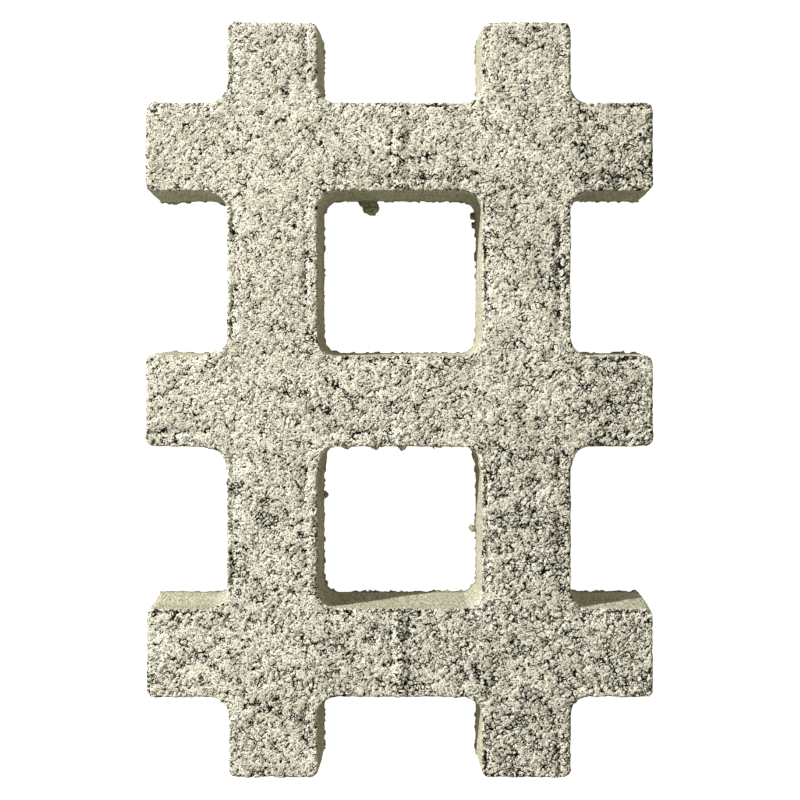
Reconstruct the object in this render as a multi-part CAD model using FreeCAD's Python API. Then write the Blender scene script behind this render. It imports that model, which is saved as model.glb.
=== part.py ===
"""Concrete grass paver: one slab of open lattice, pressed from no-slump concrete in a steel mould.

Two long rails cross three shorter bars on one square grid. The four ends of the rails and the six
ends of the bars stick out by half a cell, so pavers laid edge to edge carry the grid on. The paver
lies flat with its pressed face up, its rails along Y, and its origin under its centre.
Lengths are in millimetres.
"""
import FreeCAD, Part
import os

# Driving dimensions. Length and width are taken at the foot, which is the largest section.
LENGTH = 600.0           # overall, along the rails
WIDTH = 400.0            # overall, along the bars
THICKNESS = 80.0         # from the underside to the pressed face
RAIL_SPACING = 200.0     # between the centre lines of the two rails
BAR_SPACING = 200.0      # between the centre lines of neighbouring bars
RAIL_WIDTH = 70.0        # at the shoulder, just under the arris
BAR_WIDTH = 70.0         # at the shoulder, just under the arris
DRAFT = 1.5              # how far each side wall leans out between shoulder and foot
ARRIS = 1.5              # worn bevel around the pressed face, as wide as it is high
INNER_RADIUS = 15.0      # upright corners inside the cells and notches, at the shoulder
OUTER_RADIUS = 6.0       # upright corners at the free ends, at the shoulder
BEAD_WIDTH = 11.0        # bead of concrete squeezed up between the two press shoes
BEAD_HEIGHT = 1.2        # how far the bead stands above the pressed face
SHOE_CLEARANCE = 5.0     # how much narrower than a rail or bar the press shoe is, on each side
SHOE_SHIFT = 4.0         # how far the shoes sat off centre, towards -X and +Y
GROOVE_WIDTH = 4.0       # mark left along the edge of a shoe
GROOVE_DEPTH = 1.2       # the same mark, below the pressed face
CUT_MARGIN = 10.0        # how far a cutting tool reaches past the face that it cuts

# Places that follow from them.
RAILS = (-RAIL_SPACING / 2, RAIL_SPACING / 2)
BARS = (-BAR_SPACING, 0.0, BAR_SPACING)
RAIL_INNER = RAIL_SPACING / 2 - RAIL_WIDTH / 2
RAIL_OUTER = RAIL_SPACING / 2 + RAIL_WIDTH / 2
END_BAR_INNER = BAR_SPACING - BAR_WIDTH / 2
END_BAR_OUTER = BAR_SPACING + BAR_WIDTH / 2
SHOULDER_X = WIDTH / 2 - DRAFT
SHOULDER_Y = LENGTH / 2 - DRAFT


def rounded_wire(corners, z):
    """Closed outline through square corners (x, y, radius), each one an arc of its own radius."""
    edges = []
    ends = []
    for i, (x, y, radius) in enumerate(corners):
        here = FreeCAD.Vector(x, y, z)
        before = FreeCAD.Vector(*corners[i - 1][:2], z) - here
        after = FreeCAD.Vector(*corners[(i + 1) % len(corners)][:2], z) - here
        before.normalize()
        after.normalize()
        centre = here + (before + after) * radius
        middle = centre - (before + after).normalize() * radius
        ends.append((here + before * radius, middle, here + after * radius))
    for i, (start, middle, finish) in enumerate(ends):
        edges.append(Part.Arc(start, middle, finish).toShape())
        edges.append(Part.makeLine(finish, ends[(i + 1) % len(ends)][0]))
    return Part.Wire(edges)


def outer_corners(grow):
    """Corners of the outer outline, grown outwards by `grow` from the outline at the shoulder."""
    inner = INNER_RADIUS - grow
    outer = OUTER_RADIUS + grow
    bar = BAR_WIDTH / 2 + grow
    quarter = [
        (SHOULDER_X + grow, bar, outer),
        (RAIL_OUTER + grow, bar, inner),
        (RAIL_OUTER + grow, END_BAR_INNER - grow, inner),
        (SHOULDER_X + grow, END_BAR_INNER - grow, outer),
        (SHOULDER_X + grow, END_BAR_OUTER + grow, outer),
        (RAIL_OUTER + grow, END_BAR_OUTER + grow, inner),
        (RAIL_OUTER + grow, SHOULDER_Y + grow, outer),
        (RAIL_INNER - grow, SHOULDER_Y + grow, outer),
        (RAIL_INNER - grow, END_BAR_OUTER + grow, inner),
    ]
    half = quarter + [(-x, y, radius) for x, y, radius in reversed(quarter)]
    return half + [(-x, -y, radius) for x, y, radius in half]


def cell_corners(centre_y, grow):
    """Corners of a closed cell. The cell narrows as the concrete around it grows."""
    half_x = RAIL_INNER - grow
    half_y = (BAR_SPACING - BAR_WIDTH) / 2 - grow
    signs = ((1, 1), (-1, 1), (-1, -1), (1, -1))
    return [(sx * half_x, centre_y + sy * half_y, INNER_RADIUS - grow) for sx, sy in signs]


def lofted(corners_of):
    """Solid from foot to shoulder to pressed face, with straight walls between the three levels."""
    levels = ((0.0, DRAFT), (THICKNESS - ARRIS, 0.0), (THICKNESS, -ARRIS))
    wires = [rounded_wire(corners_of(grow), z) for z, grow in levels]
    return Part.makeLoft(wires, True, True)


def lattice():
    """The slab with its draft and arris: the outer outline less its two closed cells."""
    slab = lofted(outer_corners)
    for centre_y in (-BAR_SPACING / 2, BAR_SPACING / 2):
        slab = slab.cut(lofted(lambda grow: cell_corners(centre_y, grow)))
    return slab


def bead(bar_y):
    """Low rounded ridge across the middle of a bar, from one edge of its pressed face to the other."""
    half_width = BEAD_WIDTH / 2
    half_length = BAR_WIDTH / 2 - ARRIS
    root = THICKNESS - ARRIS
    y = bar_y - half_length
    left = FreeCAD.Vector(-half_width, y, THICKNESS)
    crest = FreeCAD.Vector(0, y, THICKNESS + BEAD_HEIGHT)
    right = FreeCAD.Vector(half_width, y, THICKNESS)
    foot = [right, FreeCAD.Vector(half_width, y, root), FreeCAD.Vector(-half_width, y, root), left]
    section = Part.Wire([Part.Arc(left, crest, right).toShape(), *Part.makePolygon(foot).Edges])
    return Part.Face(section).extrude(FreeCAD.Vector(0, 2 * half_length, 0))


def groove(start, finish):
    """V-shaped mark in the pressed face between two points (x, y), running out square at its ends."""
    start = FreeCAD.Vector(*start, THICKNESS)
    finish = FreeCAD.Vector(*finish, THICKNESS)
    along = finish - start
    across = along.cross(FreeCAD.Vector(0, 0, 1)).normalize()
    slope = GROOVE_WIDTH / 2 / GROOVE_DEPTH
    above = FreeCAD.Vector(0, 0, CUT_MARGIN)
    spread = across * slope * (GROOVE_DEPTH + CUT_MARGIN)
    tip = start - FreeCAD.Vector(0, 0, GROOVE_DEPTH)
    section = Part.makePolygon([tip, start + above + spread, start + above - spread, tip])
    return Part.Face(section).extrude(along)


def stretches(crossings, width, end):
    """Straight lengths between crossing members and out to the free ends, clear of the corners."""
    clear = width / 2 + INNER_RADIUS
    stops = [-end + OUTER_RADIUS]
    for crossing in crossings:
        stops += [crossing - clear, crossing + clear]
    stops.append(end - OUTER_RADIUS)
    return list(zip(stops[0::2], stops[1::2]))


def press_marks():
    """Grooves along both edges of the press shoes, on the straight lengths of every rail and bar."""
    marks = []
    rail_half = RAIL_WIDTH / 2 - SHOE_CLEARANCE
    bar_half = BAR_WIDTH / 2 - SHOE_CLEARANCE
    for side in (-1, 1):
        for rail in RAILS:
            x = rail - SHOE_SHIFT + side * rail_half
            marks += [groove((x, low), (x, high))
                      for low, high in stretches(BARS, BAR_WIDTH, SHOULDER_Y)]
        for bar in BARS:
            y = bar + SHOE_SHIFT + side * bar_half
            free_left, between, free_right = stretches(RAILS, RAIL_WIDTH, SHOULDER_X)
            halves = ((between[0], -BEAD_WIDTH / 2), (BEAD_WIDTH / 2, between[1]))
            marks += [groove((low, y), (high, y)) for low, high in (free_left, *halves, free_right)]
    return marks


def grass_paver():
    """The whole paver, cast as one piece."""
    body = lattice().fuse([bead(y) for y in BARS])
    body = body.cut(Part.makeCompound(press_marks())).removeSplitter()
    return body.Solids[0]


os.makedirs("parts", exist_ok=True)
paver = grass_paver()
paver.exportStep("parts/grass_paver.step")
box = paver.BoundBox
print("grass_paver", paver.ShapeType, "valid", paver.isValid(), "solids", len(paver.Solids))
print(f"size {box.XLength:.1f} x {box.YLength:.1f} x {box.ZLength:.1f} mm,"
      f" volume {paver.Volume / 1e6:.3f} litres")
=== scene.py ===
# %% [markdown]
# # Concrete grass paver
# The real thing is one open lattice slab. No-slump concrete, hardly wetter than damp soil, is shaken
# into a steel mould, pressed from above by two shoes, and pushed out while it is still green. That
# leaves three finishes on one piece: an open, pitted pressed face, finer moulded walls that the steel
# slid along, and a fairly closed underside. This file starts from the construction model, the frame,
# which fixes every size. Here the same slab gets the surface that the press and the mould gave it.

# %% Load the frame
import math

import bmesh
import bpy
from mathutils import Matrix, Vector


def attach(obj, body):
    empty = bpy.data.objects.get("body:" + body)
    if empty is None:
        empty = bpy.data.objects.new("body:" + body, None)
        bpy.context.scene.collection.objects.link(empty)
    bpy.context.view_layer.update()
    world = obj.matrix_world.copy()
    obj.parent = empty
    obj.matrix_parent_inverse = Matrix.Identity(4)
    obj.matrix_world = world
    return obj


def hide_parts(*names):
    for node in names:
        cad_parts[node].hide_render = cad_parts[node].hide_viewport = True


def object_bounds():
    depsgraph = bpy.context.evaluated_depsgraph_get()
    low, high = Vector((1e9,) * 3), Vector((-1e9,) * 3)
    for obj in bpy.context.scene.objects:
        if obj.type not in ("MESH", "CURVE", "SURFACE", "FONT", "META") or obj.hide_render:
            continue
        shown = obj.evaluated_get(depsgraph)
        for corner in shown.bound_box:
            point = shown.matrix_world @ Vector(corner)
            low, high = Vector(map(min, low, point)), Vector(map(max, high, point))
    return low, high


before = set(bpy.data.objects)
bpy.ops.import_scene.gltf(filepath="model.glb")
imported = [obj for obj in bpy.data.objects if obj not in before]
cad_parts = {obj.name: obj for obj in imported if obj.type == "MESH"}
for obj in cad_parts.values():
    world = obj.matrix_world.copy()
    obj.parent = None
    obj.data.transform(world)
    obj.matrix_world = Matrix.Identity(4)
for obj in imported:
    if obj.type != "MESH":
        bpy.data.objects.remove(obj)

cad_low, cad_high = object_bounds()
MM = 0.001
print("frame box in mm:", [round(side / MM, 1) for side in cad_high - cad_low])

# %% [markdown]
# ## The sizes of the slab
# Length and width are read from the frame. A lattice paver tiles without end, so one grid step is
# half its width and a third of its length. The other values are the mould's own: how thick the bars
# are, how far the walls lean so that the green slab comes out, and how high the shoes leave a bead.

# %% Sizes of the mould
HALF_WIDTH = cad_high.x
HALF_LENGTH = cad_high.y
GRID_STEP = (cad_high.x - cad_low.x) / 2
BAR_WIDTH = 70 * MM
DRAFT = 1.5 * MM
BEAD_HEIGHT = 1.2 * MM
FACE_HEIGHT = cad_high.z - BEAD_HEIGHT
FACE_ZONE = (60 * MM, 70 * MM)  # above these heights an upward surface counts as the pressed face
print("grid step in mm:", round(GRID_STEP / MM, 1), "pressed face at", round(FACE_HEIGHT / MM, 1))

# %% [markdown]
# ## Writing node trees in short calls
# Geometry Nodes and materials share most of their maths and texture nodes. A small helper that adds
# one node, fills its inputs and hands back its output lets both kinds of tree read like formulas, and
# lets one function, such as the one for pits, serve the shape and the colour alike.


# %% Helper for node trees
class Nodes:
    """Adds nodes to one tree. An input may be a plain value or another node's output."""

    def __init__(self, tree):
        self.tree = tree

    def add(self, kind, inputs=None, output=0, **settings):
        node = self.tree.nodes.new(kind)
        for name, value in settings.items():
            setattr(node, name, value)
        for key, value in (inputs or {}).items():
            if isinstance(value, bpy.types.NodeSocket):
                self.tree.links.new(value, node.inputs[key])
            else:
                node.inputs[key].default_value = value
        return node.outputs[output]

    def math(self, operation, *values):
        return self.add("ShaderNodeMath", dict(enumerate(values)), operation=operation)

    def vector(self, operation, *values):
        return self.add("ShaderNodeVectorMath", dict(enumerate(values)), operation=operation)

    def times(self, a, b):
        return self.math("MULTIPLY", a, b)

    def plus(self, *values):
        total = values[0]
        for value in values[1:]:
            total = self.math("ADD", total, value)
        return total

    def minus(self, a, b):
        return self.math("SUBTRACT", a, b)

    def above(self, a, b):
        return self.math("MAXIMUM", a, b)

    def below(self, a, b):
        return self.math("MINIMUM", a, b)

    def absolute(self, a):
        return self.math("ABSOLUTE", a)

    def hypotenuse(self, a, b):
        corner = self.add("ShaderNodeCombineXYZ", {0: a, 1: b})
        return self.add("ShaderNodeVectorMath", {0: corner}, output="Value", operation="LENGTH")

    def ramp(self, value, start, end, low=0.0, high=1.0):
        """Smooth step from `low` to `high` as value goes from start to end."""
        inputs = {"Value": value, "From Min": start, "From Max": end, "To Min": low, "To Max": high}
        return self.add("ShaderNodeMapRange", inputs, interpolation_type="SMOOTHSTEP")

    def blend(self, factor, a, b):
        inputs = {"Factor": factor, "A": a, "B": b}
        return self.add("ShaderNodeMix", inputs, output="Result", data_type="RGBA")

    def noise(self, position, grain, detail=2.0, roughness=0.5, distortion=0.0, output="Fac"):
        """Cloudy noise whose features are about `grain` metres across."""
        inputs = {"Vector": position, "Scale": 1 / grain, "Detail": detail, "Roughness": roughness,
                  "Distortion": distortion}
        return self.add("ShaderNodeTexNoise", inputs, output=output)

    def cells(self, position, grain, feature="F1"):
        """Random cells about `grain` metres across. Distances come out in cell widths."""
        inputs = {"Vector": position, "Scale": 1 / grain}
        return self.add("ShaderNodeTexVoronoi", inputs, output="Distance", feature=feature)

    def parts(self, position):
        node = self.tree.nodes.new("ShaderNodeSeparateXYZ")
        self.tree.links.new(position, node.inputs[0])
        return node.outputs


print("helper ready")

# %% [markdown]
# ## The lattice as a distance
# The plan of the slab follows a rule, so it can be written as one formula: how far a point is from
# the concrete, below zero inside it. Folding x about the rails and y about the bars turns the whole
# grid into one crossing. Taking the nearer of rail and bar joins them, and a circle laid into the
# corner between them gives the round corners of the cells. A second function cuts two shapes with a
# round edge, which makes the stub ends and later the worn arris.


# %% Distance formulas
def lattice_distance(n, x, y, pitch, half_bar, corner):
    """Distance to an endless lattice of rails along Y and bars along X, and to the farther of both."""
    from_rail = n.minus(n.absolute(n.minus(n.absolute(x), n.times(pitch, 0.5))), half_bar)
    steps = n.math("ROUND", n.math("DIVIDE", y, pitch))
    from_bar = n.minus(n.absolute(n.minus(y, n.times(steps, pitch))), half_bar)
    in_corner = n.hypotenuse(n.above(n.minus(corner, from_rail), 0.0),
                             n.above(n.minus(corner, from_bar), 0.0))
    nearest = n.minus(n.above(corner, n.below(from_rail, from_bar)), in_corner)
    return nearest, n.above(from_rail, from_bar)


def rounded_cut(n, a, b, radius):
    """What two shapes have in common, where the edge between them is rounded."""
    over_edge = n.hypotenuse(n.above(n.plus(a, radius), 0.0), n.above(n.plus(b, radius), 0.0))
    return n.plus(n.below(n.times(radius, -1.0), n.above(a, b)), over_edge)


print("formulas ready")

# %% [markdown]
# ## The grain of the pressed face
# Damp grains clot into lumps of a few millimetres. Where the lumps bridge under the shoe, joints stay
# open between them. Where the shoe drags the skin, it tears. The tears lie along one diagonal, square
# to the low key light, since their near-black colour is painted shadow and such shadows lie that way.
# Single holes stay where a grain fell out. One side of the face is closed and smooth, the other open
# and lumpy. The shape needs these marks to sink them, and the material to paint shade into them and
# sharpen them, so each is a function that works in either kind of tree.


# %% Functions for the grain
LARGE_LUMP = 5 * MM
SMALL_LUMP = 2.6 * MM
LONG_TEAR = 2.3 * MM
SHORT_TEAR = 1.6 * MM
HOLE = 3 * MM
SLANT = -math.pi / 4


def shifted(n, position, seed):
    """Moves the texture space, so that each seed gives another pattern."""
    return n.vector("ADD", position, (seed * 0.731, seed * 0.417, seed * 0.293))


def openness(n, position):
    """How coarse the pressed face is, from 0, closed and smooth, to 1, open and lumpy."""
    x, y, _ = n.parts(position)
    drift = n.plus(n.times(x, 0.9), n.times(y, -0.45))
    cloud = n.times(n.noise(position, 50 * MM, detail=2.0), 0.6)
    return n.ramp(n.plus(cloud, drift), 0.0, 0.6)


def bent(n, position):
    """Pushes the texture space about by a few millimetres, so that no joint runs straight."""
    cloud = n.noise(position, 5 * MM, detail=2.0, output="Color")
    push = n.vector("SUBTRACT", cloud, (0.5, 0.5, 0.5))
    return n.vector("MULTIPLY_ADD", push, (6 * MM, 6 * MM, 6 * MM), position)


def joints(n, position, grain, coarse, start):
    """Open joints between lumps about `grain` across: 0 on a lump, 1 in the middle of a joint."""
    line = n.ramp(n.cells(position, grain, "DISTANCE_TO_EDGE"), 0.02, 0.11, 1.0, 0.0)
    patch = n.plus(n.noise(position, 1.8 * grain, detail=2.0), n.times(coarse, 0.10))
    return n.times(line, n.ramp(patch, start, start + 0.14))


def slanted(n, position, stretch):
    """Turns and stretches the texture space, so that marks lie along one diagonal of the slab."""
    turn = {"Vector": position, "Angle": SLANT}
    turned = n.add("ShaderNodeVectorRotate", turn, rotation_type="Z_AXIS")
    return n.vector("MULTIPLY", turned, (1 / stretch, 1.0, 1.0))


def tears(n, position, coarse):
    """Short tears and fine specks where the skin was dragged, 0 to 1."""
    spread = n.noise(shifted(n, position, 3), 9 * MM, detail=2.0)
    limit = n.minus(n.ramp(spread, 0.35, 0.65, 0.660, 0.620), n.times(coarse, 0.015))
    long = n.minus(n.noise(slanted(n, position, 2.4), LONG_TEAR, detail=1.5), limit)
    short = n.minus(n.noise(slanted(n, shifted(n, position, 6), 1.6), SHORT_TEAR, detail=1.0), limit)
    return n.above(n.ramp(long, 0.0, 0.03), n.ramp(short, -0.01, 0.03))


def holes(n, position, coarse):
    """Single holes a few millimetres across, 0 to 1."""
    rim = n.plus(n.times(coarse, -0.02), 0.71)
    place = shifted(n, position, 5)
    cloud = n.noise(place, HOLE, detail=1.6, roughness=0.55, distortion=0.6)
    return n.ramp(n.minus(cloud, rim), 0.0, 0.04)


def grain_marks(n, position, coarse):
    """Large joints, small joints, and tears with holes, each from 0 to 1."""
    place = bent(n, position)
    large = joints(n, place, LARGE_LUMP, coarse, 0.55)
    small = joints(n, shifted(n, place, 2), SMALL_LUMP, coarse, 0.63)
    return large, small, n.above(tears(n, position, coarse), holes(n, position, coarse))


print("grain functions ready")

# %% [markdown]
# ## The slab as a tree
# The slab could be the frame's own mesh cut finer, but its long thin triangles carry no relief, and
# the ragged foot needs overhangs that moving points along a normal can't make. So the tree fills a
# grid of small boxes, finer across than in height, with the distance formula. Volume to Mesh wraps a
# closed skin round what is inside, and the finer relief then moves the skin. Sizes are named inputs.

# %% Inputs of the slab tree
SLAB_INPUTS = {
    "Half Length": HALF_LENGTH - DRAFT,
    "Half Width": HALF_WIDTH - DRAFT + 1.6 * MM,
    "Face Height": FACE_HEIGHT,
    "Grid Step": GRID_STEP,
    "Bar Width": BAR_WIDTH,
    "Draft": DRAFT,
    "Arris": 1.6 * MM,
    "Inner Radius": 15 * MM,
    "Foot Corner": 3 * MM,
    "Face Corner": 6 * MM,
    "Chip Size": 2.6 * MM,
    "Bead Width": 11 * MM,
    "Bead Height": BEAD_HEIGHT + 0.5 * MM,
    "Shoe Clearance": 5.5 * MM,
    "Shoe Shift": 3.2 * MM,
    "Groove Depth": 1.8 * MM,
    "Joint Depth": 0.8 * MM,
    "Hole Depth": 1.3 * MM,
    "Wall Relief": 0.7 * MM,
    "Spacing": 1.15 * MM,
    "Height Spacing": 2.0 * MM,
}


def tree_with_inputs(name, inputs):
    """New Geometry Nodes tree with a geometry in and out, a material and these named numbers."""
    tree = bpy.data.node_groups.new(name, "GeometryNodeTree")
    tree.interface.new_socket("Geometry", in_out="INPUT", socket_type="NodeSocketGeometry")
    tree.interface.new_socket("Material", in_out="INPUT", socket_type="NodeSocketMaterial")
    for label, value in inputs.items():
        socket = tree.interface.new_socket(label, in_out="INPUT", socket_type="NodeSocketFloat")
        socket.default_value = value
    tree.interface.new_socket("Geometry", in_out="OUTPUT", socket_type="NodeSocketGeometry")
    return tree


print(len(SLAB_INPUTS), "named inputs")


# %% The moulded solid
# The green slab slumps a little in places. Each bulge has a middle, a reach and a swell, in mm.
BULGES = [(0, -36, 240, 24, 2.0), (-134, 40, 24, 330, 1.8), (-200, 110, 24, 170, 1.0)]


def moulded_walls(n, given, position):
    """Distance to the lattice with its stub ends, leaning walls and slight unevenness."""
    x, y, z = n.parts(position)
    half_bar = n.times(given["Bar Width"], 0.5)
    plan, _ = lattice_distance(n, x, y, given["Grid Step"], half_bar, given["Inner Radius"])
    past_width = n.minus(n.absolute(x), given["Half Width"])
    past_length = n.minus(n.absolute(y), given["Half Length"])
    ends = n.above(past_width, past_length)
    corner = n.ramp(z, 35 * MM, FACE_HEIGHT, given["Foot Corner"], given["Face Corner"])
    plan = rounded_cut(n, plan, ends, corner)
    share = n.math("DIVIDE", z, given["Face Height"])
    lean = n.times(given["Draft"], n.minus(1.0, share))
    sway = n.times(n.minus(n.noise(position, 70 * MM, detail=1.0), 0.5), 1.1 * MM)
    for middle_x, middle_y, reach_x, reach_y, out in BULGES:
        away = n.hypotenuse(n.math("DIVIDE", n.minus(x, middle_x * MM), reach_x * MM),
                            n.math("DIVIDE", n.minus(y, middle_y * MM), reach_y * MM))
        sway = n.plus(sway, n.ramp(away, 0.7, 1.0, out * MM, 0.0))
    return n.minus(n.minus(plan, lean), sway)


def worn_edge(n, given, position, wall):
    """Joins the walls and the pressed face, with chips broken out of the edge between them."""
    top = n.minus(n.parts(position)[2], given["Face Height"])
    near_edge = n.ramp(n.plus(n.absolute(top), n.absolute(wall)), 0.5 * MM, 6 * MM, 1.0, 0.0)
    cloud = n.noise(position, 8 * MM, detail=3.0, roughness=0.65)
    chip = n.times(n.ramp(cloud, 0.5, 0.7), n.times(near_edge, given["Chip Size"]))
    crumbs = n.times(n.minus(n.noise(position, 3.5 * MM, detail=2.0), 0.5), n.times(near_edge, 5 * MM))
    return n.plus(rounded_cut(n, wall, top, given["Arris"]), chip, crumbs)


print("walls and edge ready")


# %% Burrs, clots and the ragged foot
# Each has a place, a height and a radius, in mm.
BURRS = [(-24, 158, 5, 6.5), (-29, 162, 4, 5.0), (62, 151, 5, 3.5), (62.5, 143, 4, 3.0),
         (-63, -82, 5, 3.0), (61, -110, 6, 3.5), (-118, 163, 4, 3.5), (-101, 162, 4, 3.0)]
CLOTS = [(-48, -35, 76, 2.4), (-43, -36, 75, 3.4), (-24, -35, 77, 2.6), (-20, -36, 75, 3.6),
         (-13, -35, 76, 2.6), (2, -36, 75, 3.8), (9, -35, 77, 2.4), (27, -35, 76, 2.8),
         (31, -36, 76, 2.2), (52, -35, 76, 2.8)]


def ragged_foot(n, position, solid):
    """Burrs on the foot, where the mould met the board, and clots on the edge of the middle bar."""
    z = n.parts(position)[2]
    foot = n.ramp(z, 1 * MM, 7 * MM, 1.0, 0.0)
    cloud = n.noise(position, 4.5 * MM, detail=2.0, roughness=0.6)
    solid = n.minus(solid, n.times(n.ramp(cloud, 0.46, 0.68), n.times(foot, 2.2 * MM)))
    uneven = n.times(n.minus(n.noise(position, 3.5 * MM, detail=2.0), 0.5), 8 * MM)
    for x, y, height, radius in BURRS + CLOTS:
        ends = {0: position, 1: (x * MM, y * MM, height * MM)}
        away = n.add("ShaderNodeVectorMath", ends, output="Value", operation="DISTANCE")
        solid = n.below(solid, n.minus(n.plus(away, uneven), radius * MM))
    return n.above(solid, n.times(z, -1.0))


print(len(BURRS), "burrs and", len(CLOTS), "clots placed")


# %% From distance to skin
def add_solid(n, given):
    """Fills a grid of boxes with the distance and wraps a closed skin round the inside."""
    position = n.add("GeometryNodeInputPosition")
    wall = moulded_walls(n, given, position)
    solid = worn_edge(n, given, position, wall)
    solid = ragged_foot(n, position, solid)
    margin = 4 * MM
    reach = [n.plus(given[side], given["Draft"], margin) for side in ("Half Width", "Half Length")]
    low = [n.times(reach[0], -1.0), n.times(reach[1], -1.0), -margin]
    high = [reach[0], reach[1], n.plus(given["Face Height"], margin)]
    steps = [given["Spacing"], given["Spacing"], given["Height Spacing"]]
    counts = [n.math("DIVIDE", n.minus(b, a), step) for a, b, step in zip(low, high, steps)]
    box = {"Density": n.times(solid, -1 / MM), "Background": -margin / MM,
           "Min": n.add("ShaderNodeCombineXYZ", dict(enumerate(low))),
           "Max": n.add("ShaderNodeCombineXYZ", dict(enumerate(high))),
           "Resolution X": counts[0], "Resolution Y": counts[1], "Resolution Z": counts[2]}
    volume = n.add("GeometryNodeVolumeCube", box)
    return n.add("GeometryNodeVolumeToMesh", {"Volume": volume, "Threshold": 0.0, "Adaptivity": 0.0})


print("solid shape ready")

# %% [markdown]
# ## The relief on the skin
# Each shoe is a few millimetres smaller than its bar, so it leaves a groove with a raised lip outside
# it. The shoes meet on the centre line and leave a ragged bead. All of this belongs to the pressed
# face; on the walls the steel left only a fine drag, and the board left the underside flat.


# %% Marks of the press
def shoe_groove(n, given, position):
    """How deep the edge of the shoe pressed in, in metres."""
    x, y, _ = n.parts(position)
    half_shoe = n.minus(n.times(given["Bar Width"], 0.5), given["Shoe Clearance"])
    moved_x = n.plus(x, given["Shoe Shift"])
    moved_y = n.minus(y, given["Shoe Shift"])
    from_shoe, far_side = lattice_distance(n, moved_x, moved_y, given["Grid Step"], half_shoe, 24 * MM)
    wander = n.times(n.minus(n.noise(position, 9 * MM, detail=2.0), 0.5), 2.5 * MM)
    from_shoe = n.plus(from_shoe, wander)
    shoulder = n.ramp(from_shoe, -8.5 * MM, 0.0)
    shoulder = n.times(shoulder, shoulder)
    beyond = n.ramp(from_shoe, 0.0, 2.4 * MM, 1.0, 0.0)
    straight = n.ramp(far_side, 8 * MM, 22 * MM)
    strength = n.ramp(n.noise(position, 38 * MM, detail=1.5), 0.43, 0.60, 0.1, 1.1)
    groove = n.times(n.times(shoulder, beyond), n.times(straight, strength))
    return n.times(groove, given["Groove Depth"])


def shoe_bead(n, given, position):
    """The bead squeezed up between the shoes: its height in metres, and its sunk foot lines, 0 to 1."""
    wander = n.times(n.minus(n.noise(position, 14 * MM, detail=2.0), 0.5), 0.9)
    x = n.parts(position)[0]
    across = n.plus(n.math("DIVIDE", x, n.times(given["Bead Width"], 0.5)), wander)
    crest = n.above(n.minus(1.0, n.times(across, across)), 0.0)
    lump = n.ramp(n.noise(position, 7 * MM, detail=2.0), 0.4, 0.6, 0.45, 1.2)
    foot_line = n.ramp(n.absolute(n.minus(n.absolute(across), 1.25)), 0.0, 0.4, 1.0, 0.0)
    broken = n.ramp(n.noise(shifted(n, position, 4), 10 * MM, detail=2.0), 0.44, 0.60)
    foot_line = n.times(foot_line, broken)
    squeezed = n.ramp(n.absolute(n.parts(position)[1]), 60 * MM, 150 * MM, 0.35, 1.0)
    crest = n.times(n.times(crest, lump), given["Bead Height"])
    foot = n.times(foot_line, given["Bead Height"])
    return n.times(n.minus(crest, foot), squeezed), n.times(foot_line, squeezed)


print("press marks ready")


# %% Move the skin
SEED = 7


def add_relief(n, given, skin):
    """Moves the skin along its normals: rough on the pressed face, fine on walls, flat underneath."""
    position = n.add("GeometryNodeInputPosition")
    normal = n.add("GeometryNodeInputNormal")
    facing = n.parts(normal)[2]
    pressed = n.times(n.ramp(facing, 0.35, 0.85), n.ramp(n.parts(position)[2], *FACE_ZONE))
    under = n.ramp(facing, -0.9, -0.5, 1.0, 0.0)
    place = shifted(n, position, SEED)
    coarse = openness(n, position)
    large, small, torn = grain_marks(n, place, coarse)
    lump = n.ramp(n.cells(bent(n, place), LARGE_LUMP, "DISTANCE_TO_EDGE"), 0.0, 0.3, -1.0, 0.0)
    dome = n.times(lump, n.ramp(coarse, 0.0, 1.0, 0.05 * MM, 0.28 * MM))
    swell = n.times(n.minus(n.noise(place, 45 * MM, detail=1.0), 0.5), 0.7 * MM)
    crumbs = n.times(n.minus(n.noise(place, 3.0 * MM, detail=2.0, roughness=0.6), 0.5), 0.2 * MM)
    shallow = n.times(given["Joint Depth"], 0.35)
    sunk = n.plus(n.times(large, given["Joint Depth"]), n.times(small, shallow),
                  n.times(torn, given["Hole Depth"]), shoe_groove(n, given, position))
    bead, _ = shoe_bead(n, given, position)
    face = n.minus(n.plus(dome, swell, crumbs, bead), sunk)
    drag = n.vector("MULTIPLY", place, (1.0, 1.0, 0.5))
    wall = n.minus(n.noise(drag, 5 * MM, detail=2.0, roughness=0.55), 0.5)
    wall = n.minus(n.times(wall, given["Wall Relief"]), n.times(holes(n, drag, 0.0), 0.7 * MM))
    open_side = n.minus(1.0, n.above(pressed, under))
    height = n.plus(n.times(face, pressed), n.times(wall, open_side))
    offset = n.add("ShaderNodeVectorMath", {0: normal, "Scale": height}, operation="SCALE")
    return n.add("GeometryNodeSetPosition", {"Geometry": skin, "Offset": offset})


print("relief ready")


# %% Build the slab tree
def slab_tree():
    tree = tree_with_inputs("slab_tree", SLAB_INPUTS)
    n = Nodes(tree)
    given = tree.nodes.new("NodeGroupInput").outputs
    skin = add_solid(n, given)
    skin = add_relief(n, given, skin)
    skin = n.add("GeometryNodeSetShadeSmooth", {"Geometry": skin, "Shade Smooth": True})
    skin = n.add("GeometryNodeRealizeInstances", {"Geometry": skin})
    skin = n.add("GeometryNodeSetMaterial", {"Geometry": skin, "Material": given["Material"]})
    tree.links.new(skin, tree.nodes.new("NodeGroupOutput").inputs[0])
    return tree


slab = slab_tree()
print("slab tree has", len(slab.nodes), "nodes")
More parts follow.
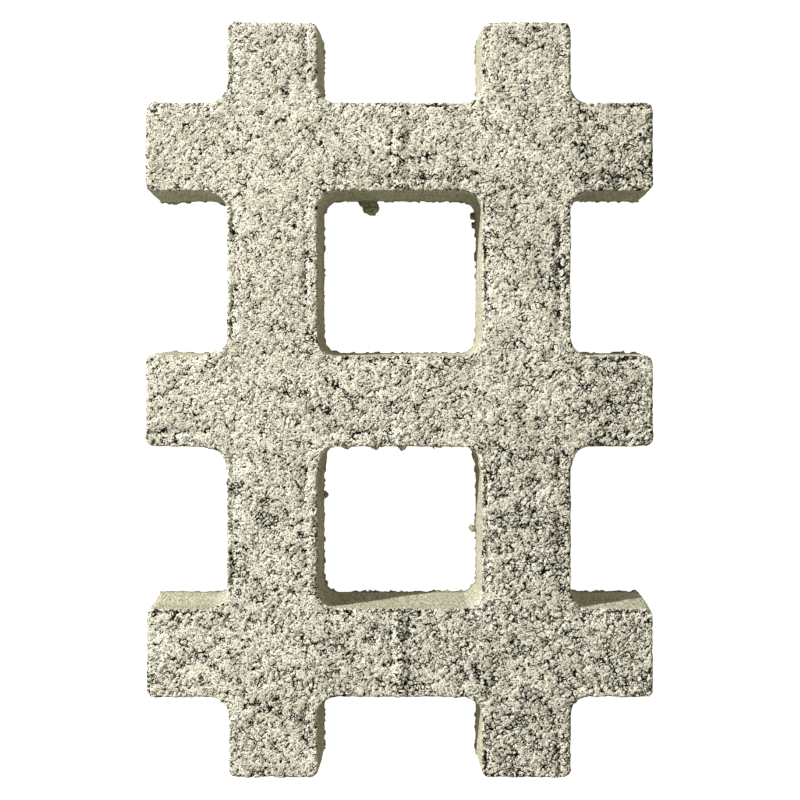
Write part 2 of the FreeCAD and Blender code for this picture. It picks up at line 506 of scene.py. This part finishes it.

# %% [markdown]
# ## The finish
# The paste is a pale warm grey. The pressed face is kept lighter and the walls a little darker and
# yellower: partly the paste that the steel rubbed, partly painted shade for the fine shadowing of the
# walls. Grains of sand lift or sink the tone from one millimetre to the next. Joints, tears, holes,
# pores and the dark lines in the shoe groove and at the bead's foot are painted nearly black, as
# painted shadow, since little light gets in. The colour is also painted darker towards the foot and
# where the face is open, as painted shade.


# %% Colour and bump of the concrete
PASTE_DARK = (0.400, 0.383, 0.317, 1)
PASTE_LIGHT = (0.478, 0.462, 0.395, 1)
# Painted shade in part: this darker, yellower wall tone stands partly for the rubbed paste, partly for
# the walls' fine shadowing.
WALL_TINT_AND_SHADE = (0.92, 0.93, 0.83, 1)


def concrete_material():
    """Pale warm grey concrete: sandy specks, painted shade in joints and pores, and a bump as fine as
    its sand.
    """
    material = bpy.data.materials.new("pressed_concrete")
    material.use_nodes = True
    tree = material.node_tree
    n = Nodes(tree)
    shader = tree.nodes["Principled BSDF"]
    position = n.add("ShaderNodeTexCoord", output="Object")
    normal = n.add("ShaderNodeNewGeometry", output="Normal")
    z = n.parts(position)[2]
    pressed = n.times(n.ramp(n.parts(normal)[2], 0.1, 0.6), n.ramp(z, *FACE_ZONE))
    place = shifted(n, position, SEED)
    coarse = openness(n, position)
    large, small, torn = grain_marks(n, place, coarse)
    _, foot_line = shoe_bead(n, SLAB_INPUTS, position)
    groove = n.ramp(shoe_groove(n, SLAB_INPUTS, position), 1.5 * MM, 1.8 * MM)
    broken = n.ramp(n.noise(place, 3 * MM, detail=2.0), 0.54, 0.58)
    # Painted shadow: the deepest line of the shoe groove and the bead's foot lines are darkened where
    # the lip and the crest shade them.
    painted_line_shadow = n.times(n.above(foot_line, groove), broken)
    sunk = n.above(n.above(large, n.times(small, 0.85)), n.above(torn, painted_line_shadow))
    sunk = n.times(sunk, pressed)
    drag = n.vector("MULTIPLY", place, (1.0, 1.0, 0.45))
    grit = n.noise(drag, 1.5 * MM, detail=3.0, roughness=0.7)
    sand = n.noise(shifted(n, drag, 1), 1.1 * MM, detail=1.5, roughness=0.6)
    pores = n.times(n.ramp(sand, 0.58, 0.62), n.ramp(grit, 0.60, 0.50))
    dark = n.above(sunk, n.times(pores, n.ramp(pressed, 0.0, 1.0, 0.5, 1.0)))
    tone = n.noise(place, 28 * MM, detail=5.0, roughness=0.62)
    paste = n.blend(n.ramp(tone, 0.35, 0.65), PASTE_DARK, PASTE_LIGHT)
    # Painted shade in part: the walls take the darker, yellower wall tone, the pressed face keeps the
    # full paste.
    paste = n.vector("MULTIPLY", paste, n.blend(pressed, WALL_TINT_AND_SHADE, (1, 1, 1, 1)))
    # Here the first of each last pair holds on the walls, the second on the pressed face.
    darkest = n.ramp(pressed, 0.0, 1.0, 0.62, 0.66)
    lightest = n.ramp(pressed, 0.0, 1.0, 1.38, 1.34)
    grains = n.ramp(grit, 0.32, 0.68, darkest, lightest)
    # Painted shade: the open, lumpy part is made up to 8 % darker and the closed part 5 % lighter, for
    # the shade in the open part's hollows.
    grains = n.times(grains, n.ramp(coarse, 0.0, 1.0, 1.05, 0.92))
    # Painted shade: the foot of the walls and the underside are painted darker, down to half below 2
    # mm, full again at 12 mm.
    grains = n.times(grains, n.ramp(z, 2 * MM, 12 * MM, 0.5, 1.0))
    # Painted shade: joints, tears, holes, pores and those lines are coloured down to a hundredth,
    # standing in for the shadow inside them.
    shade = n.times(grains, n.ramp(dark, 0.15, 0.45, 1.0, 0.01))
    colour = n.add("ShaderNodeVectorMath", {0: paste, "Scale": shade}, operation="SCALE")
    tree.links.new(colour, shader.inputs["Base Color"])
    shader.inputs["Roughness"].default_value = 0.92
    shader.inputs["Specular IOR Level"].default_value = 0.05
    rough = n.ramp(pressed, 0.0, 1.0, 1.6 * MM, 0.6 * MM)
    height = n.times(n.minus(grit, 0.5), rough)
    height = n.plus(height, n.times(n.minus(sand, 0.5), n.times(rough, 1.2)))
    height = n.minus(height, n.times(sunk, 0.4 * MM))
    height = n.minus(height, n.times(pores, 0.35 * MM))
    bump_inputs = {"Height": height, "Distance": 1.0, "Strength": 1.0}
    bump = n.add("ShaderNodeBump", bump_inputs, output="Normal")
    tree.links.new(bump, shader.inputs["Normal"])
    return material


stone = concrete_material()
print("material has", len(stone.node_tree.nodes), "nodes")

# %% [markdown]
# ## Making the slab
# The tree runs on an empty mesh, and its result is kept as a plain mesh. Its even skin has far more
# triangles than the flat parts need, so a collapse spends them where the relief is. The real slab is
# one casting, so crumbs that came out beside it are dropped.

# %% Make it
TRIANGLES = 190_000


def set_inputs(modifier, tree, values):
    """Fills the modifier's inputs by their socket identifiers."""
    modifier.node_group = tree
    for item in tree.interface.items_tree:
        if item.in_out == "INPUT" and item.name in values:
            modifier[item.identifier] = values[item.name]


def one_piece(mesh):
    """Deletes all but the largest connected piece, so that no loose crumb floats beside the slab."""
    work = bmesh.new()
    work.from_mesh(mesh)
    unseen = set(work.verts)
    pieces = []
    while unseen:
        piece = [unseen.pop()]
        for vertex in piece:
            beside = [edge.other_vert(vertex) for edge in vertex.link_edges]
            fresh = [other for other in beside if other in unseen]
            unseen.difference_update(fresh)
            piece.extend(fresh)
        pieces.append(piece)
    pieces.sort(key=len)
    loose = [vertex for piece in pieces[:-1] for vertex in piece]
    bmesh.ops.delete(work, geom=loose, context="VERTS")
    open_edges = sum(1 for edge in work.edges if len(edge.link_faces) != 2)
    work.to_mesh(mesh)
    work.free()
    print("loose crumbs removed:", len(pieces) - 1, "open edges left:", open_edges)


def finished(name, tree, values):
    """Runs a tree on an empty mesh and keeps the result as a plain mesh object."""
    host = bpy.data.objects.new(name, bpy.data.meshes.new(name))
    bpy.context.collection.objects.link(host)
    set_inputs(host.modifiers.new("tree", "NODES"), tree, values)
    graph = bpy.context.evaluated_depsgraph_get()
    full = bpy.data.meshes.new_from_object(host.evaluated_get(graph))
    host.modifiers.clear()
    host.data = full
    count = sum(len(face.vertices) - 2 for face in full.polygons)
    thinner = host.modifiers.new("thinner", "DECIMATE")
    thinner.ratio = min(1.0, TRIANGLES / count)
    graph = bpy.context.evaluated_depsgraph_get()
    mesh = bpy.data.meshes.new_from_object(host.evaluated_get(graph))
    host.modifiers.clear()
    host.data = mesh
    one_piece(mesh)
    print(name, "has", len(mesh.polygons), "triangles of", count)
    return host


paver = finished("paver", slab, {**SLAB_INPUTS, "Material": stone})
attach(paver, "root")
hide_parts("grass_paver")

# %% [markdown]
# ## The white ground
# The slab lies on a plain white floor. The floor is a wide dish, flat round the slab and rising far
# away, so that a low view sees white behind the slab too. It is hidden from bounced light, which
# would otherwise fill the shaded walls.


# %% Floor
FLOOR_RINGS = [(8.0, 0.0), (10.0, 0.3), (13.0, 1.8), (17.0, 5.0), (22.0, 10.0)]
FLOOR_SIDES = 64


def dish(name, rings, sides):
    """A round floor from (radius, height) rings, whose middle is one flat face."""
    turns = [2 * math.pi * side / sides for side in range(sides)]
    points = [(radius * math.cos(turn), radius * math.sin(turn), height)
              for radius, height in rings for turn in turns]
    faces = [tuple(range(sides))]
    for ring in range(len(rings) - 1):
        first = ring * sides
        for side in range(sides):
            after = (side + 1) % sides
            faces.append((first + side, first + sides + side, first + sides + after, first + after))
    mesh = bpy.data.meshes.new(name)
    mesh.from_pydata(points, [], faces)
    thing = bpy.data.objects.new(name, mesh)
    bpy.context.collection.objects.link(thing)
    return thing


floor = dish("floor", FLOOR_RINGS, FLOOR_SIDES)
white = bpy.data.materials.new("floor_white")
white.use_nodes = True
paint = white.node_tree.nodes["Principled BSDF"]
paint.inputs["Base Color"].default_value = (0.85, 0.85, 0.85, 1)
paint.inputs["Roughness"].default_value = 1.0
floor.data.materials.append(white)
floor.visible_diffuse = False
print("floor is", round(floor.dimensions.x), "m wide")

# %% [markdown]
# ## The light
# One low, hard light from the upper left makes every joint throw a shadow, which is what shows how
# rough the face is. It lights the slab alone. The floor has its own soft light from above, so that it
# stays an even white, and a warm sky fills the shaded walls.


# %% Lights
def sun(name, towards, strength, angle):
    light = bpy.data.lights.new(name, "SUN")
    light.energy = strength
    light.angle = math.radians(angle)
    lamp = bpy.data.objects.new(name, light)
    lamp.rotation_mode = "QUATERNION"
    lamp.rotation_quaternion = Vector(towards).to_track_quat("-Z", "Y")
    bpy.context.collection.objects.link(lamp)
    return lamp


def only(name, *things):
    group = bpy.data.collections.new(name)
    for thing in things:
        group.objects.link(thing)
    return group


key = sun("key", (1.28, -0.86, -1.0), 8.5, 1.5)
key.light_linking.receiver_collection = only("key_lights", paver)
wash = sun("wash", (0, 0, -1), 3.3, 20)
wash.light_linking.receiver_collection = only("wash_lights", floor)
wash.light_linking.blocker_collection = only("wash_shadows", floor)
print("lights:", key.name, wash.name)

# %% Sky
sky = bpy.data.worlds.new("studio")
sky.use_nodes = True
glow = sky.node_tree.nodes["Background"]
glow.inputs["Color"].default_value = (1.0, 0.955, 0.75, 1)
glow.inputs["Strength"].default_value = 0.60
bpy.context.scene.world = sky
bpy.context.scene.view_settings.view_transform = "Standard"
print("sky strength:", round(glow.inputs["Strength"].default_value, 2))

# %% [markdown]
# ## The view
# The camera looks straight down from a little over a metre, so that the slab fills the frame and the
# walls near its ends just show. Sliding the lens instead of turning the camera keeps the outline
# square.

# %% Camera
lens = bpy.data.cameras.new("camera")
lens.lens = 70.6
lens.shift_y = -0.0713
camera = bpy.data.objects.new("camera", lens)
camera.location = (0.0, 45 * MM, 80 * MM + 1.238)
bpy.context.collection.objects.link(camera)
bpy.context.scene.camera = camera
print("camera height in m:", round(camera.location.z, 3))
